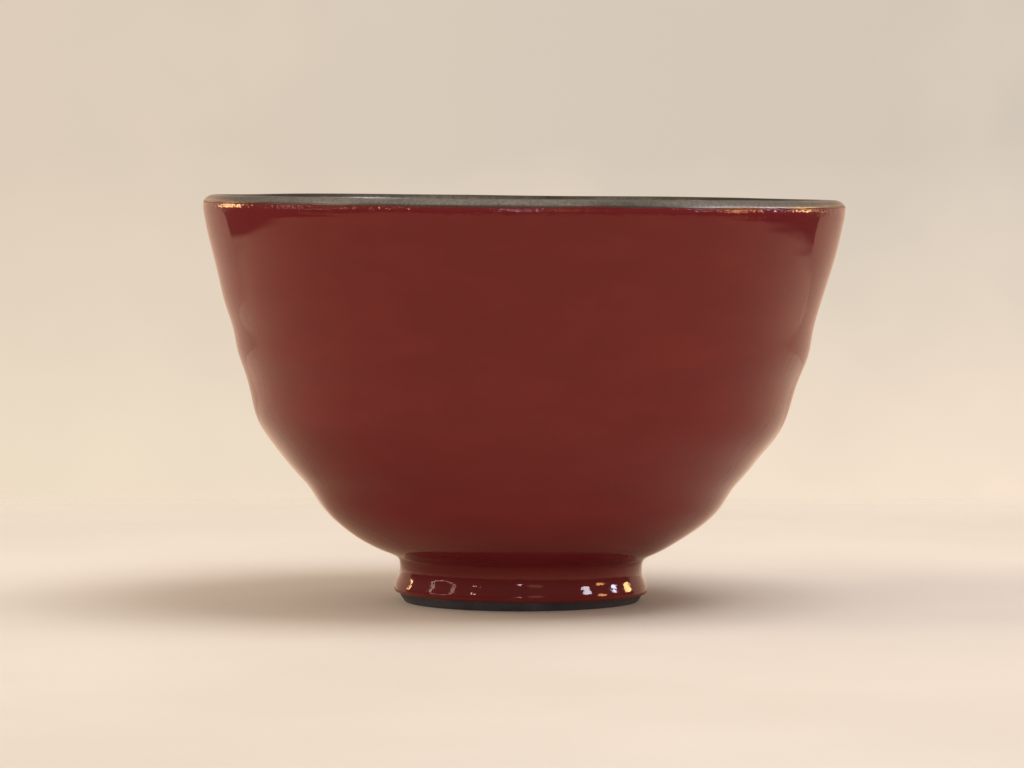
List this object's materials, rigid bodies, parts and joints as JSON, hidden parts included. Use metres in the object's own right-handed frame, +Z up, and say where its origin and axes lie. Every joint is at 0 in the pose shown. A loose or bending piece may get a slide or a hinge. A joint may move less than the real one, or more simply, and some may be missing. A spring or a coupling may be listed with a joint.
{
  "type": "rice bowl",
  "caption": "Hand-thrown stoneware rice bowl on a foot ring, glossy deep red glaze outside, brushed silver coat inside and over the lip.",
  "frame": {"origin": "middle of the foot ring, on the surface that the bowl stands on", "axes": "+Z up out of the bowl's mouth; +X to the side that the hand-thrown cup leans to by about half a degree; +Y away from the viewer"},
  "size_m": [0.1198, 0.1198, 0.076],
  "materials": {
    "dark_stoneware": "matte",
    "red_glaze": "gloss",
    "clear_ground_glaze": "gloss",
    "fired_silver": "satin"
  },
  "bodies": {
    "root": {"cup_body": "dark_stoneware", "foot_ring": "dark_stoneware", "red_glaze": "red_glaze", "inner_glaze": "clear_ground_glaze", "silver_coat": "fired_silver"}
  },
  "joints": []
}
